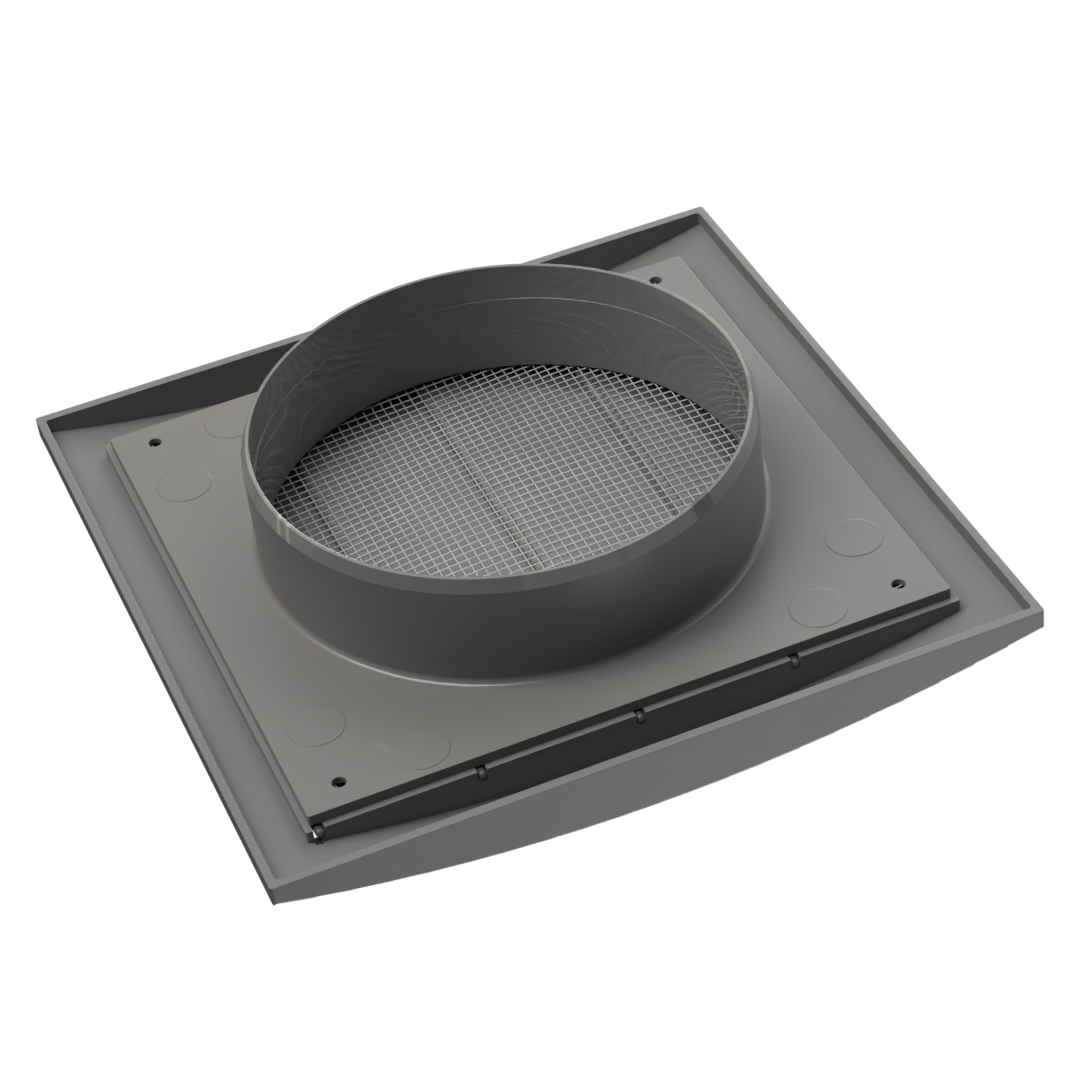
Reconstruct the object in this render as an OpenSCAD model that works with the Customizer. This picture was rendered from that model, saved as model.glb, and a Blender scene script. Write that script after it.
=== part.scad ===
// Louvred vent grille with gravity flaps and a round duct spigot.
// Millimetres. X runs across the grille, Z is up, and the front faces -Y.
// The spigot points along +Y into the wall. The origin is on the spigot's
// axis, on the rear face of the back plate, midway between the screw holes.

/* [Front cover] */
// Width of the cover
cover_w = 189; // [184:1:200]
// Height of the cover
cover_h = 189; // [184:1:200]
// How far the cover's rear edge stands behind the back plate's rear face
rim_proud = 0.4; // [0.2:0.1:1]
// Depth of the rim at the cover's upper and lower edges
edge_depth = 5.3; // [4.5:0.1:8]
// How far the middle of the front stands out in front of those edges
bow = 11.3; // [8:0.1:16]
// Thickness of the bowed front
panel_t = 2; // [1.4:0.1:2.6]
// Thickness of the rim at the left and right
rim_side_t = 2.4; // [1.6:0.1:3.5]
// Thickness of the rim at the top and bottom
rim_end_t = 2.1; // [1.6:0.1:3.5]
// Rounding of the cover's outer edges
edge_r = 0.8; // [0.4:0.1:1.2]

/* [Flap box] */
// Width of the front left and right of the opening that the flaps close
side_band = 18.1; // [16:0.1:20]
// Height of the front above and below that opening
end_band = 15; // [13:0.1:17]
// Thickness of the box walls that carry the hinge pins
box_side_t = 2.35; // [2:0.05:3]
// Thickness of the box walls at the top and bottom
box_end_t = 1.7; // [1.4:0.1:2.6]
// Thickness of the stop rib behind the lowest flap's edge
sill_t = 1.6; // [1.2:0.1:2.4]
// How far the stop rib reaches up behind the lowest flap
sill_lap = 1.2; // [0.8:0.1:3]

/* [Flaps] */
// Diameter of a hinge pin
pin_d = 2.2; // [1.8:0.1:2.4]
// Running clearance round a hinge pin, on the radius
pin_clear = 0.08; // [0.02:0.01:0.1]
// Radius of the bead along a flap's hinge
bead_r = 1.3; // [1.2:0.05:1.8]
// Thickness of a flap
flap_t = 1.2; // [0.8:0.1:1.6]
// Gap between a flap and the pieces it closes against
flap_gap = 0.3; // [0.3:0.05:0.6]
// Gap between a flap's end and the box wall
flap_side_gap = 0.6; // [0.3:0.1:1]
// Height of a closed flap's lower edge over the next hinge
tip_rise = 0.3; // [0.2:0.1:1]
// Gap between the lowest flap's edge and the bottom of the opening
foot_gap = 2.3; // [1.6:0.1:4]
// How far a pin's domed end stands out of the box wall
pin_proud = 0.4; // [0.2:0.1:1]
// Depth of the hinges in front of the back plate's rear face
hinge_depth = 4.5; // [4.3:0.1:5]
// Depth of the relief above the top hinge, in front of that hinge
relief_depth = 2.7; // [1.5:0.1:3]

/* [Back plate] */
// Thickness of the back plate
plate_t = 1.5; // [1.2:0.1:2.4]
// Height of the skirt that seats the back plate on the box
skirt_h = 2.75; // [2.7:0.05:3]
// Width of that skirt
skirt_t = 3; // [2:0.1:4]
// How far the back plate laps onto the side walls of the box
lap_side = 0.5; // [0.3:0.1:1]
// How far the back plate laps onto the end walls of the box
lap_end = 0.2; // [0.1:0.1:1]
// Rounding of the back plate's corners
plate_r = 0.6; // [0.4:0.1:3]
// Distance of a screw hole from the back plate's left or right edge
screw_in_side = 7.2; // [5:0.1:9]
// Distance of a screw hole from the back plate's top or bottom edge
screw_in_end = 10; // [5:0.1:12]
// Diameter of a screw hole
screw_d = 3.4; // [3:0.1:4.5]

/* [Spigot] */
// Outer diameter of the spigot
spigot_d = 124; // [118:1:126]
// Wall of the spigot at its mouth
spigot_t = 2.3; // [1.8:0.1:3]
// How far the spigot stands behind the back plate's rear face
spigot_l = 30.3; // [24:0.1:60]
// Length of the tapered lead-in at the spigot's mouth
lead_l = 3.4; // [1:0.1:5]
// Width of the flat rim at the spigot's mouth
lip_t = 0.9; // [0.5:0.1:1.4]
// Radius of the fillet at the spigot's foot
foot_r = 1.7; // [1:0.1:3]
// Depth of the step in the bore, from the spigot's mouth
step_l = 9.9; // [6:0.1:20]
// Height of the step in the bore
step_t = 0.3; // [0.1:0.1:0.6]
// How much the bore widens, on the radius, from the step to the room side
bore_flare = 0.8; // [0.2:0.1:1]
// Chamfer of the bore's edge on the room side of the plate
bore_break = 0.4; // [0.2:0.1:0.6]

/* [Ejector marks] */
// Diameter of the low round marks on the back plate
mark_d = 13.7; // [8:0.1:14]
// Height of those marks
mark_h = 0.1; // [0.05:0.05:0.3]
// How far each mark lies along the plate's edge from the nearest screw hole
mark_along = 20; // [16:0.5:24]
// How far each mark lies further in from that edge than the screw hole
mark_in = 1.5; // [0:0.5:3]

/* [Insect screen] */
// Pitch of the threads that run across
thread_pitch_z = 2.49; // [2:0.01:4]
// Pitch of the threads that run up and down
thread_pitch_x = 2.6; // [2:0.01:4]
// Width of the threads that run across
thread_wz = 0.58; // [0.3:0.01:0.8]
// Width of the threads that run up and down
thread_wx = 0.42; // [0.3:0.01:0.8]
// Thickness of the film between the threads
film_t = 0.2; // [0.1:0.05:0.3]
// How far the threads stand out of the film on each side
thread_h = 0.2; // [0.1:0.05:0.3]
// Clearance between the screen's edge and the skirt
screen_gap = 0.1; // [0.05:0.05:1]
// Open meshes modelled in each row
open_cols = 10; // [4:1:10]
// Open meshes modelled in each column
open_rows = 12; // [4:1:12]

/* [Hidden] */
$fn = 64;

cover_colour = [0.49, 0.48, 0.47];
plate_colour = [0.5, 0.49, 0.48];
screen_colour = [0.8, 0.8, 0.8];
flap_colour = [0.48, 0.47, 0.46];

flap_count = 4;
drum_fn = 720;
bore_fn = 180;
round_fn = 48;
past = 1;
overlap = 0.2;
ease = 0.975;
mesh_share = 0.9;

// Places along Y: the wall side is positive, the room side negative
edge_y = rim_proud - edge_depth;
front_y = edge_y - bow;
seat_y = -skirt_h;
hinge_y = -hinge_depth;

// The front is part of a large drum whose axis runs across behind the wall
drum_r = (pow(cover_h / 2, 2) + pow(bow, 2)) / (2 * bow);
drum_y = front_y + drum_r;

opening_w = cover_w - 2 * side_band;
opening_h = cover_h - 2 * end_band;
box_w = opening_w + 2 * box_side_t;
box_h = opening_h + 2 * box_end_t;

pin_r = pin_d / 2;
notch_r = pin_r + pin_clear;
pin_span = box_w + 2 * pin_proud - pin_d;
flap_w = opening_w - 2 * flap_side_gap;
top_hinge_z = opening_h / 2 - bead_r - flap_gap;
flap_pitch = (opening_h - bead_r - flap_gap - foot_gap + tip_rise) / flap_count;
flap_drop = flap_pitch - tip_rise;
tip_out = bead_r + flap_gap + flap_t / 2;
sill_front = bead_r;
sill_top = foot_gap + sill_lap;

plate_w = opening_w + 2 * lap_side;
plate_h = opening_h + 2 * lap_end;
screw_x = plate_w / 2 - screw_in_side;
screw_z = plate_h / 2 - screw_in_end;

spigot_r = spigot_d / 2;
mouth_r = spigot_r - spigot_t;
bore_r = mouth_r - step_t;
foot_bore_r = bore_r + bore_flare;
bore_l = spigot_l - step_l + plate_t;

screen_w = plate_w - 2 * skirt_t - 2 * screen_gap;
screen_h = plate_h - 2 * skirt_t - 2 * screen_gap;
thread_nx = floor((screen_w - thread_wx) / thread_pitch_x / 2);
thread_nz = floor((screen_h - thread_wz) / thread_pitch_z / 2);
open_step_x = floor((2 * thread_nx - 1) / open_cols);
open_step_z = floor((2 * thread_nz - 1) / open_rows);
open_w = (thread_pitch_x - thread_wx) * mesh_share;
open_h = (thread_pitch_z - thread_wz) * mesh_share;

function hinge_z(i) = top_hinge_z - (i - 1) * flap_pitch;

// A plan in X and Z, drawn from y_back towards the room by depth
module towards_room(y_back, depth) {
    translate([0, y_back, 0])
        rotate([90, 0, 0])
            linear_extrude(depth)
                children();
}

// A profile in Y and Z, drawn across X about the middle
module across(width) {
    rotate([90, 0, 90])
        translate([0, 0, -width / 2])
            linear_extrude(width)
                children();
}

module rounded_rect(w, h, r) {
    square([w - 2 * r, h], center = true);
    square([w, h - 2 * r], center = true);
    for (sx = [-1, 1], sz = [-1, 1])
        translate([sx * (w / 2 - r), sz * (h / 2 - r)])
            circle(r);
}

// A drum about the cross axis, with its two rims rounded by r
module drum(radius, width, r) {
    translate([0, drum_y, 0])
        rotate([0, 90, 0])
            rotate_extrude($fn = drum_fn)
                drum_section(radius, width, r);
}

module drum_section(radius, width, r) {
    translate([0, -width / 2])
        square([radius - r, width]);
    translate([0, r - width / 2])
        square([radius, width - 2 * r]);
    for (side = [-1, 1])
        translate([radius - r, side * (width / 2 - r)])
            circle(r, $fn = round_fn);
}

// The waste outside a round on the upper front edge, seen along X
module edge_waste() {
    set_in = edge_r * ease;
    side = 4 * edge_r;
    centre_z = cover_h / 2 - set_in;
    centre_y = drum_y - sqrt(pow(drum_r - set_in, 2) - pow(centre_z, 2));
    difference() {
        translate([centre_y - side, centre_z])
            square(side);
        translate([centre_y, centre_z])
            circle(edge_r, $fn = round_fn);
    }
}

module cover_blank() {
    difference() {
        intersection() {
            towards_room(rim_proud, edge_depth + bow + past)
                rounded_rect(cover_w, cover_h, edge_r);
            drum(drum_r, cover_w, edge_r);
        }
        for (turn = [0, 1])
            mirror([0, 0, turn])
                across(cover_w + 2 * past)
                    edge_waste();
    }
}

module cover_hollow() {
    intersection() {
        towards_room(rim_proud + past, edge_depth + bow + past)
            rounded_rect(cover_w - 2 * rim_side_t, cover_h - 2 * rim_end_t, edge_r);
        translate([0, drum_y, 0])
            rotate([0, 90, 0])
                cylinder(r = drum_r - panel_t, h = cover_w, center = true, $fn = drum_fn);
    }
}

module box_block() {
    intersection() {
        towards_room(seat_y, edge_depth + bow)
            rounded_rect(box_w, box_h, edge_r);
        translate([0, drum_y, 0])
            rotate([0, 90, 0])
                cylinder(r = drum_r - panel_t / 2, h = cover_w, center = true, $fn = drum_fn);
    }
}

// An open slot with a round foot that a hinge pin drops into from behind
module pin_slot() {
    circle(notch_r);
    translate([0, -notch_r])
        square([hinge_depth, 2 * notch_r]);
}

// Room between the top hinge pin and the end wall, down into the front
module top_relief() {
    translate([-box_w / 2 - past, hinge_y - relief_depth, hinge_z(1)])
        cube([box_w + 2 * past, hinge_depth + relief_depth, opening_h / 2 - hinge_z(1)]);
}

module stop_rib() {
    translate([-opening_w / 2 - past, hinge_y - sill_front, -opening_h / 2 - past])
        cube([opening_w + 2 * past, sill_t, sill_top + past]);
}

module front_cover() {
    color(cover_colour) {
        difference() {
            union() {
                difference() {
                    cover_blank();
                    cover_hollow();
                }
                box_block();
            }
            towards_room(rim_proud + past, edge_depth + bow + 2 * past)
                square([opening_w, opening_h], center = true);
            for (i = [1 : flap_count])
                translate([0, hinge_y, hinge_z(i)])
                    across(box_w + 2 * past)
                        pin_slot();
            top_relief();
        }
        stop_rib();
    }
}

module spigot_section() {
    difference() {
        union() {
            translate([0, -plate_t / 2])
                square([spigot_r, plate_t / 2 + spigot_l - lead_l]);
            translate([0, -plate_t / 2])
                square([spigot_r + foot_r, plate_t / 2 + foot_r * ease]);
            polygon([
                [0, spigot_l - lead_l],
                [spigot_r, spigot_l - lead_l],
                [mouth_r + lip_t, spigot_l],
                [0, spigot_l]
            ]);
        }
        translate([spigot_r + foot_r, foot_r * ease])
            circle(foot_r);
    }
}

// The bore in three lengths: the mouth, the long flare and the broken edge
module duct_bore() {
    rotate([90, 0, 0]) {
        translate([0, 0, -spigot_l - past])
            cylinder(r = mouth_r, h = step_l + past, $fn = bore_fn);
        translate([0, 0, step_l - spigot_l - overlap])
            cylinder(r1 = bore_r, r2 = foot_bore_r, h = bore_l + overlap, $fn = bore_fn);
        translate([0, 0, plate_t - bore_break])
            cylinder(r1 = foot_bore_r, r2 = foot_bore_r + 2 * bore_break, h = 2 * bore_break, $fn = bore_fn);
    }
}

module screw_hole() {
    rotate([90, 0, 0])
        cylinder(d = screw_d, h = 2 * plate_t + 2 * past, center = true);
}

module ejector_mark() {
    rotate([-90, 0, 0])
        translate([0, 0, -plate_t / 2])
            cylinder(d = mark_d, h = plate_t / 2 + mark_h);
}

module back_plate() {
    color(plate_colour)
        difference() {
            union() {
                towards_room(0, skirt_h)
                    rounded_rect(plate_w, plate_h, plate_r);
                rotate([-90, 0, 0])
                    rotate_extrude($fn = bore_fn)
                        spigot_section();
                for (sx = [-1, 1], sz = [-1, 1]) {
                    translate([sx * (screw_x - mark_in), 0, sz * (screw_z - mark_along)])
                        ejector_mark();
                    translate([sx * (screw_x - mark_along), 0, sz * (screw_z - mark_in)])
                        ejector_mark();
                }
            }
            towards_room(-plate_t, skirt_h)
                square([plate_w - 2 * skirt_t, plate_h - 2 * skirt_t], center = true);
            duct_bore();
            for (sx = [-1, 1], sz = [-1, 1])
                translate([sx * screw_x, 0, sz * screw_z])
                    screw_hole();
        }
}

// The film with the threads that run across, seen along X
module film_section() {
    translate([-film_t / 2, -screen_h / 2])
        square([film_t, screen_h]);
    for (i = [-thread_nz : thread_nz])
        translate([0, i * thread_pitch_z - thread_wz / 2])
            square([film_t / 2 + thread_h, thread_wz]);
}

module upright_threads() {
    for (i = [-thread_nx : thread_nx])
        translate([i * thread_pitch_x - thread_wx / 2, -film_t / 2 - thread_h, -screen_h / 2])
            cube([thread_wx, film_t / 2 + thread_h, screen_h]);
}

module open_meshes() {
    for (c = [0 : open_cols - 1], r = [0 : open_rows - 1]) {
        cell_x = open_step_x * (c - floor(open_cols / 2)) + 0.5;
        cell_z = open_step_z * (r - floor(open_rows / 2)) + 0.5;
        translate([cell_x * thread_pitch_x, 0, cell_z * thread_pitch_z])
            cube([open_w, 4 * film_t, open_h], center = true);
    }
}

module insect_screen() {
    color(screen_colour)
        translate([0, -plate_t - film_t / 2 - thread_h, 0])
            difference() {
                union() {
                    across(screen_w)
                        film_section();
                    upright_threads();
                }
                open_meshes();
            }
}

// A flap seen along X, hanging closed from its hinge at the origin
module flap_section() {
    lean = atan(tip_out / flap_drop);
    reach = flap_drop / cos(lean) - flap_t / 2;
    circle(bead_r);
    rotate(-lean) {
        translate([-flap_t / 2, -reach])
            square([flap_t, reach]);
        translate([0, -reach])
            circle(flap_t / 2);
    }
}

module flap(i) {
    color(flap_colour)
        translate([0, hinge_y, hinge_z(i)]) {
            across(flap_w)
                flap_section();
            rotate([0, 90, 0])
                cylinder(r = pin_r, h = pin_span, center = true);
            for (side = [-1, 1])
                translate([side * pin_span / 2, 0, 0])
                    sphere(r = pin_r);
        }
}

front_cover();
back_plate();
insect_screen();
flap(1);  // flap_1
flap(2);  // flap_2
flap(3);  // flap_3
flap(4);  // flap_4
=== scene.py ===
"""Looks of a louvred vent grille: a grey wall grille seen from its duct side."""

import math

import bpy
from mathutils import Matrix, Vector


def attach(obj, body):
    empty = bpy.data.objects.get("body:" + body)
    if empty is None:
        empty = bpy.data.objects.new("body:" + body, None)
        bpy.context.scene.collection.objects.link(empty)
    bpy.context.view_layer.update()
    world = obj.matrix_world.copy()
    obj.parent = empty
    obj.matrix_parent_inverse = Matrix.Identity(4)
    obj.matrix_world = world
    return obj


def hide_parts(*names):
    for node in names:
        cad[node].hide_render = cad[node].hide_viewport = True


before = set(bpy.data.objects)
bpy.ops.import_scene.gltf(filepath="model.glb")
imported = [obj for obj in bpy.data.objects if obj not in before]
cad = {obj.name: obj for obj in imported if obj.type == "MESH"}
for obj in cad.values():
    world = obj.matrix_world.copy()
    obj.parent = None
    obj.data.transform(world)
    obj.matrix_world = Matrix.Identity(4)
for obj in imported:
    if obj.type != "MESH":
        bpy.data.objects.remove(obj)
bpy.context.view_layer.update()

# Camera
# In the picture the grille lies face down, and the viewer looks onto its
# back from one side, with the grille's top on the left. A 110 mm lens keeps
# the square rim nearly parallel.
viewer = bpy.data.cameras.new("viewer")
viewer.sensor_width = 36
viewer.lens = 109.635
viewer.clip_start = 0.05
viewer.clip_end = 20
tripod = bpy.data.objects.new("viewer", viewer)
tripod.location = (0.593156, 0.504975, 0.183994)
tripod.rotation_euler = [math.radians(angle) for angle in (-53.13095, 66.91417, -14.31543)]
bpy.context.scene.collection.objects.link(tripod)
bpy.context.scene.camera = tripod


# Front cover
# One ABS moulding: the bowed front, the rim round it, and the box walls
# that carry the louvres' pins. It has a satin skin straight from a lightly
# eroded mould, with a little unevenness in its grey.
class Socket:
    """An output of a node. Arithmetic on it adds Math nodes to the same material."""

    def __init__(self, tree, output=None):
        self.tree = tree
        self.output = output

    def node(self, kind, settings=(), values=()):
        """Adds a node: its type, its settings, then the values or links of its sockets."""
        made = self.tree.nodes.new("ShaderNode" + kind)
        for name, value in dict(settings).items():
            setattr(made, name, value)
        for name, value in dict(values).items():
            if isinstance(value, Socket):
                self.tree.links.new(value.output, made.inputs[name])
            else:
                made.inputs[name].default_value = value
        shown = [output for output in made.outputs if output.enabled]
        return Socket(self.tree, shown[0] if shown else None)

    def other(self, name):
        """Another output of the node that this one comes from."""
        return Socket(self.tree, self.output.node.outputs[name])

    def parts(self):
        """The X, Y and Z of a place."""
        split = self.node("SeparateXYZ", {}, {"Vector": self})
        return split, split.other("Y"), split.other("Z")

    def maths(self, operation, *numbers):
        """A Math node on numbers, sockets or both."""
        return self.node("Math", {"operation": operation}, enumerate(numbers))

    def __add__(self, more):
        return self.maths("ADD", self, more)

    def __radd__(self, more):
        return self.maths("ADD", more, self)

    def __sub__(self, less):
        return self.maths("SUBTRACT", self, less)

    def __rsub__(self, whole):
        return self.maths("SUBTRACT", whole, self)

    def __mul__(self, times):
        return self.maths("MULTIPLY", self, times)

    def __rmul__(self, times):
        return self.maths("MULTIPLY", times, self)

    def __truediv__(self, parts):
        return self.maths("DIVIDE", self, parts)

    def __pow__(self, power):
        return self.maths("POWER", self, power)

    def step(self, low, high):
        """0 below low and 1 above high, smooth between them."""
        return self.node("MapRange", {"interpolation_type": "SMOOTHSTEP"},
                         {"Value": self, "From Min": low, "From Max": high})

    def tint(self, low, high):
        """A colour between two, by this value."""
        return self.node("Mix", {"data_type": "RGBA"}, {0: self, 6: (*low, 1), 7: (*high, 1)}).other(2)


def blank_material(name):
    """A material with only its output, and the socket class's hold on its tree."""
    material = bpy.data.materials.new(name)
    material.use_nodes = True
    material.node_tree.nodes.clear()
    return material, Socket(material.node_tree)


def satin_abs(name, grey, seed, tone_with_painted_light=None, polish=None, rounding=None):
    """Satin moulded ABS. By surface place, its fourth argument lightens or darkens the colour with marks
    and with painted light and shade, polish smooths it and rounding turns the normal.
    """
    darkest, cloud_shade, skin_shade = 0.93, 0.1, 0.04
    smoothest, cloud_rough, skin_rough = 0.27, 0.1, 0.08
    polished_away, edge_radius = 0.92, 0.0003
    material, make = blank_material(name)
    place = make.node("TexCoord").other("Object")
    clouds = make.node("TexNoise", {"noise_dimensions": "4D"},
                       {"Vector": place, "W": seed, "Scale": 28, "Detail": 3, "Roughness": 0.55})
    skin = make.node("TexNoise", {}, {"Vector": place, "Scale": 900, "Detail": 2, "Roughness": 0.6})
    grain = make.node("TexNoise", {}, {"Vector": place, "Scale": 5200, "Detail": 1})
    shade = darkest + clouds * cloud_shade + skin * skin_shade
    rough = smoothest + clouds * cloud_rough + skin * skin_rough
    height = grain + skin
    # Marks, and painted light and shade, change the colour here.
    if tone_with_painted_light:
        shade = shade + tone_with_painted_light(place)
    if polish:
        shine = polish(place)
        rough = rough * (1 - polished_away * shine)
        height = height * (1 - shine)
    colour = make.node("VectorMath", {"operation": "SCALE"}, {0: grey, "Scale": shade})
    normal = make.node("Bevel", {"samples": 4}, {"Radius": edge_radius})
    if rounding:
        normal = rounding(place, normal)
    relief = make.node("Bump", {}, {"Height": height, "Strength": 0.25, "Distance": 0.00001,
                                    "Normal": normal})
    surface = make.node("BsdfPrincipled", {}, {"Base Color": colour, "Roughness": rough,
                                               "Normal": relief, "IOR": 1.5})
    make.node("OutputMaterial", {}, {"Surface": surface})
    return material


cover_plastic = satin_abs("satin grey ABS of the cover", (0.21, 0.202, 0.194), 1.7)
cad["front_cover"].data.materials.clear()
cad["front_cover"].data.materials.append(cover_plastic)


# Back plate and spigot
# The second moulding, in the same ABS: the plate that closes the flap box
# and the spigot for the duct. Its bore was drawn off a polished core. The
# lead-in at its mouth has lighter and darker bands round it, and painted
# light towards both sides.
spigot_radius, bore_radius = 0.062, 0.0602
fillet_radius, fillet_ease = 0.0017, 0.975
fillet_centre_radius = spigot_radius + fillet_radius
fillet_centre_y = fillet_radius * fillet_ease
hair = 0.0001


def band(value, low, high, blur):
    """1 where a value lies between low and high, and 0 outside, with a soft border."""
    return value.step(low, low + blur) * (1 - value.step(high - blur, high))


def plate_polish(place):
    """1 on the polished bore, and part of it where the fillet at the spigot's foot was dressed."""
    foot_inner, foot_outer, foot_blur = 0.06205, 0.0643, 0.0005
    dressed_start, dressed_end, dressed_blur = 0.01, 1.06, 0.03
    dressed_gloss = 0.45
    x, y, z = place.parts()
    radius = (x * x + z * z) ** 0.5
    turn = place.maths("ARCTAN2", z, x)
    bore = (1 - radius.step(bore_radius, bore_radius + 4 * hair)) * y.step(-10 * hair, 0)
    foot = band(radius, foot_inner, foot_outer, foot_blur) * y.step(-2 * hair, 0)
    return bore + dressed_gloss * foot * band(turn, dressed_start, dressed_end, dressed_blur)


def foot_rounding(place, normal):
    """The true round of the fillet at the spigot's foot, which the CAD mesh has in flat facets."""
    x, y, z = place.parts()
    radius = (x * x + z * z) ** 0.5
    outward = (fillet_centre_radius - radius) / radius
    inner, outer = spigot_radius, fillet_centre_radius
    on_fillet = band(radius, inner, outer, hair) * band(y, -hair, fillet_radius, hair)
    round_normal = place.node("CombineXYZ", {}, {"X": outward * x, "Y": fillet_centre_y - y,
                                                 "Z": outward * z})
    turned = place.node("VectorTransform", {"vector_type": "NORMAL", "convert_from": "OBJECT",
                                            "convert_to": "WORLD"}, {"Vector": round_normal})
    return place.node("Mix", {"data_type": "VECTOR"}, {0: on_fillet, 4: normal, 5: turned}).other(1)


def plate_marks_and_painted_light(place):
    """Lighter and darker bands round the lead-in, with painted light towards both sides, and a rubbed
    streak by one ejector mark.
    """
    lead_in_y, lead_in_middle_y = 0.0267, 0.0286
    x, y, z = place.parts()
    turn = place.maths("ARCTAN2", z, x)
    along_spigot = y - lead_in_middle_y
    lead_in_bands = 0
    # Each band's start, end and blur in turn round the mouth, its lean, and how much lighter it is; the
    # first two are painted light
    for start, end, blur, lean, lighter in (
            (0.9, 2.2, 0.6, 0, 0.3),
            (-2.2, -0.6, 0.5, 0, 0.4),
            (-0.55, -0.441, 0.01, 0, -0.36),
            (-0.447, 0.292, 0.01, 0, 0.2),
            (-0.12, -0.08, 0.01, 0, -0.1),
            (1.286, 1.318, 0.01, 8, 0.75),
            (1.348, 1.382, 0.01, 8, 0.75),
            (1.51, 1.61, 0.01, 8, -0.15),
            (-1.21, -1.1, 0.01, -50, -0.4)):
        lead_in_bands = lead_in_bands + lighter * band(turn - along_spigot * lean, start, end, blur)
    rub_x, rub_z, rub_slope = 0.0641, 0.0568, math.radians(-33.2)
    rub_long, rub_wide, rub_lighter = 0.0046, 0.0011, 0.15
    along = (x - rub_x) * math.cos(rub_slope) + (z - rub_z) * math.sin(rub_slope)
    across = (z - rub_z) * math.cos(rub_slope) - (x - rub_x) * math.sin(rub_slope)
    rubbed = 1 - ((along / rub_long) ** 2 + (across / rub_wide) ** 2).step(0, 1)
    on_lead_in = y.step(lead_in_y, lead_in_y + 4 * hair)
    on_plate = 1 - y.step(2 * hair, 5 * hair)
    return lead_in_bands * on_lead_in + rub_lighter * rubbed * on_plate


plate_plastic = satin_abs("satin grey ABS of the back plate", (0.216, 0.207, 0.198), 4.1,
                          plate_marks_and_painted_light, plate_polish, foot_rounding)
cad["back_plate"].data.materials.clear()
cad["back_plate"].data.materials.append(plate_plastic)


# Insect screen
# A pale extruded polyethylene net that lies loose under the plate: a lower
# layer of threads across the grille and an upper one along it, melted
# together where they cross. It was laid in a little askew and lies in waves.
pitch = 0.0025
half_wide, half_high = 0.0735, 0.0764
upper_y, lower_y = -0.00175, -0.00187
upper_wide, lower_wide, thread_thick = 0.00049, 0.00034, 0.0003


def wandered(x, z):
    """How far the net's threads have wandered from their straight lines, in X and in Z."""
    askew, wave_high, wave_long = 0.00705, 0.0375, 0.0164
    bow, bow_middle, fan, slant, shift_x = 0.00145, -0.68, 0.00144, 0.00084, -0.00211
    shift_z, stretch, lean, twist, arch = 0.00032, 0.00035, 0.00017, -0.00065, 0.0007
    span = 0.05
    across, up = x / span, z / span
    drift_x = askew / (1 + math.exp((wave_high + x - z) / wave_long))
    drift_x += bow * (across - bow_middle) ** 2 + fan * up ** 2 + slant * up + shift_x
    drift_z = shift_z + stretch * across + lean * up + twist * across * up + arch * up ** 2
    return drift_x, drift_z


def net_place(x, z, y):
    """Where a point of the flat net lies: wandered, sunk at the far edge, and straight round the border."""
    sink_depth, sink_x, sink_long, border_hold = 0.0005, -0.055, 0.002, 8
    drift_x, drift_z = wandered(x, z)
    free = (1 - (x / half_wide) ** border_hold) * (1 - (z / half_high) ** border_hold)
    sunk = sink_depth / (1 + math.exp((x - sink_x) / sink_long))
    return (x + free * drift_x, y - free * sunk, z + free * drift_z)


def thread(points, wide):
    """A flat strand with six sides along the points."""
    sides = 6
    turns = [math.tau * side / sides for side in range(sides)]
    ring = [(wide / 2 * math.cos(turn), thread_thick / 2 * math.sin(turn)) for turn in turns]
    corners, faces = [], []
    for here, there, point in zip([points[0]] + points[:-1], points[1:] + [points[-1]], points):
        along = (Vector(there) - Vector(here)).normalized()
        across = along.cross(Vector((0, 1, 0))).normalized()
        up = across.cross(along)
        corners += [Vector(point) + across * sideways + up * upward for sideways, upward in ring]
    last = sides * (len(points) - 1)
    for start in range(0, last, sides):
        for side in range(sides):
            this, beside = start + side, start + (side + 1) % sides
            faces.append((this, beside, beside + sides, this + sides))
    faces.append(tuple(reversed(range(sides))))
    faces.append(tuple(range(last, last + sides)))
    return corners, faces


def crossings(half):
    """Where the threads cross a line of the net, from its one end to its other."""
    count = int(half / pitch)
    return [-half] + [step * pitch for step in range(-count, count + 1)] + [half]


xs, zs = crossings(half_wide), crossings(half_high)
strands = [thread([net_place(x, z, lower_y) for x in xs], lower_wide) for z in zs[1:-1]]
strands += [thread([net_place(x, z, upper_y) for z in zs], upper_wide) for x in xs[1:-1]]
net_corners, net_faces = [], []
for corners, faces in strands:
    net_faces += [tuple(corner + len(net_corners) for corner in face) for face in faces]
    net_corners += corners
net_mesh = bpy.data.meshes.new("insect_net")
net_mesh.from_pydata(net_corners, [], net_faces)
net_mesh.shade_smooth()
net = bpy.data.objects.new("insect_net", net_mesh)
bpy.context.scene.collection.objects.link(net)

net_plastic, make = blank_material("pale polyethylene net")
place = make.node("TexCoord").other("Object")
cloud = make.node("TexNoise", {}, {"Vector": place, "Scale": 60, "Detail": 2})
net_colour = cloud.step(0.3, 0.7).tint((0.52, 0.52, 0.51), (0.6, 0.6, 0.59))
net_surface = make.node("BsdfPrincipled", {}, {"Base Color": net_colour, "Roughness": 0.4 + cloud * 0.1,
                                               "IOR": 1.5})
make.node("OutputMaterial", {}, {"Surface": net_surface})
net_mesh.materials.append(net_plastic)
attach(net, "frame")
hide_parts("insect_screen")


# Flaps
# Four ABS blades with moulded pins, which hang in the box walls' slots and
# swing out when air blows. On their duct side, painted light makes them
# paler below the bore, a painted shadow darkens them under the plate, and
# painted crease shade lies where the next blade laps them.
flap_count = 4
top_hinge_z, hinge_pitch = 0.0779, 0.03885
# Where the painted light below the bore fades into the painted shadow under the plate, where the painted
# crease shade lies above the next blade, and how strong each is.
shadow_edge_inner, shadow_edge_outer = 0.054, 0.0585
crease_shade_start, crease_shade_end = 0.0012, 0.0018
painted_lit_gain, painted_shadow_depth, painted_crease_depth = 0.35, 0.43, 0.7

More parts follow.
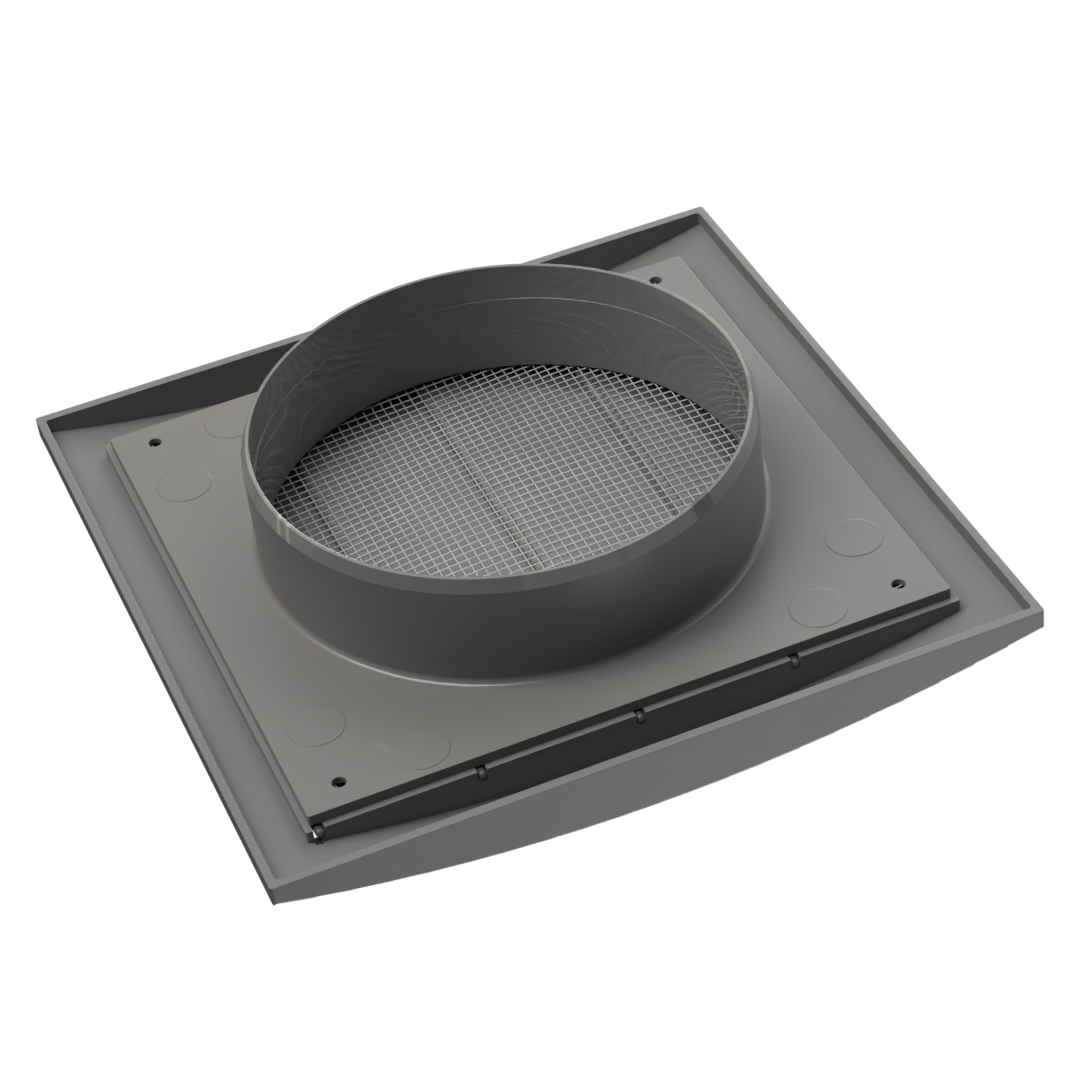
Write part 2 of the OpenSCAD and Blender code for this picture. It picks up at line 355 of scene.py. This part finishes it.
for number in range(1, flap_count + 1):
    tip_z = top_hinge_z - number * hinge_pitch

    def blade_painted_shading(place):
        """Painted light and shade on the blade's duct side: paler in the circle below the bore, a painted
        shadow under the plate, and painted crease shade just above the next blade's bead.
        """
        x, y, z = place.parts()
        duct_side = place.other("Normal").parts()[1].step(0, 0.5)
        in_bore_light = 1 - ((x * x + z * z) ** 0.5).step(shadow_edge_inner, shadow_edge_outer)
        lap_crease = band(z - tip_z, crease_shade_start, crease_shade_end, 2 * hair)
        lit_tone = painted_lit_gain + painted_shadow_depth - painted_crease_depth * lap_crease
        # Paler by painted light below the bore, less the painted crease shade, and darker by painted shadow
        # under the plate.
        return duct_side * (in_bore_light * lit_tone - painted_shadow_depth)

    blade = cad[f"flap_{number}"].data
    blade.materials.clear()
    blade.materials.append(
        satin_abs(f"satin grey ABS of louvre {number}", (0.205, 0.197, 0.19), 6.3 + number, blade_painted_shading))


# Floor, lamps and world
# A studio with a round pale floor far below the grille. Soft lamps on the
# wall side light the back plate and put a sheen on it, and low ones light
# the side that faces the viewer, the bottom end and the room side.
floor_reach, floor_z, floor_sides = 3, -2.1, 64
floor_mesh = bpy.data.meshes.new("studio_floor")
turns = [math.tau * side / floor_sides for side in range(floor_sides)]
floor_edge = [(floor_reach * math.cos(turn), floor_reach * math.sin(turn), 0) for turn in turns]
floor_mesh.from_pydata(floor_edge, [], [tuple(range(floor_sides))])
floor = bpy.data.objects.new("studio_floor", floor_mesh)
floor.location = (0, 0, floor_z)
bpy.context.scene.collection.objects.link(floor)
floor_paint, make = blank_material("matt white floor")
seen = make.node("LightPath").other("Is Camera Ray")
place = make.node("TexCoord").other("Object")
distance = make.node("VectorMath", {"operation": "LENGTH"}, {0: place}).other("Value")
matt = make.node("BsdfDiffuse", {}, {"Color": (0.8, 0.8, 0.8, 1)})
glow = make.node("Emission", {}, {"Color": (1, 1, 1, 1), "Strength": 1})
near_white, near_reach, far_reach = 0.9, 0.3, 1.2
shown_white = seen * (near_white + (1 - near_white) * distance.step(near_reach, far_reach))
floor_look = make.node("MixShader", {}, {0: shown_white, 1: matt, 2: glow})
make.node("OutputMaterial", {}, {"Surface": floor_look})
floor_mesh.materials.append(floor_paint)


lamp_distance = 1.6


def soft_lamp(name, direction, radiance, size=0.7):
    """A square soft lamp that faces the grille and isn't seen itself."""
    lamp = bpy.data.lights.new(name, "AREA")
    lamp.shape = "SQUARE"
    lamp.size = size
    lamp.energy = radiance * math.pi * size ** 2
    holder = bpy.data.objects.new(name, lamp)
    holder.location = Vector(direction).normalized() * lamp_distance
    holder.rotation_mode = "QUATERNION"
    holder.rotation_quaternion = Vector(direction).to_track_quat("Z", "Y")
    holder.visible_camera = False
    bpy.context.scene.collection.objects.link(holder)


soft_lamp("overhead_lamp", (0, 0.95, 0.31), 7.9)
soft_lamp("top_side_lamp", (-0.19, 0.79, 0.59), 5.9)
soft_lamp("bottom_side_lamp", (-0.19, 0.79, -0.59), 2.25)
soft_lamp("far_side_lamp", (-0.6, 0.75, -0.25), 0.95, size=1.4)
soft_lamp("sheen_lamp", (-0.8, 0.14, -0.58), 7.6)
soft_lamp("bottom_end_lamp", (-0.31, 0.14, -0.94), 2.9)
soft_lamp("near_side_lamp", (0.87, -0.34, -0.36), 2.8)
soft_lamp("low_near_lamp", (0.75, -0.6, -0.25), 0.75)
soft_lamp("low_bottom_lamp", (0.3, -0.86, -0.41), 4)
soft_lamp("room_side_lamp", (0, -1, 0), 3, size=1.8)

world = bpy.data.worlds.new("studio")
world.use_nodes = True
world.node_tree.nodes.clear()
bpy.context.scene.world = world
make = Socket(world.node_tree)
seen = make.node("LightPath").other("Is Camera Ray")
unlit = make.node("Background", {}, {"Color": (1, 1, 1, 1), "Strength": 0})
white = make.node("Background", {}, {"Color": (1, 1, 1, 1), "Strength": 1})
make.node("OutputWorld", {}, {"Surface": make.node("MixShader", {}, {0: seen, 1: unlit, 2: white})})
bpy.context.scene.view_settings.view_transform = "Standard"
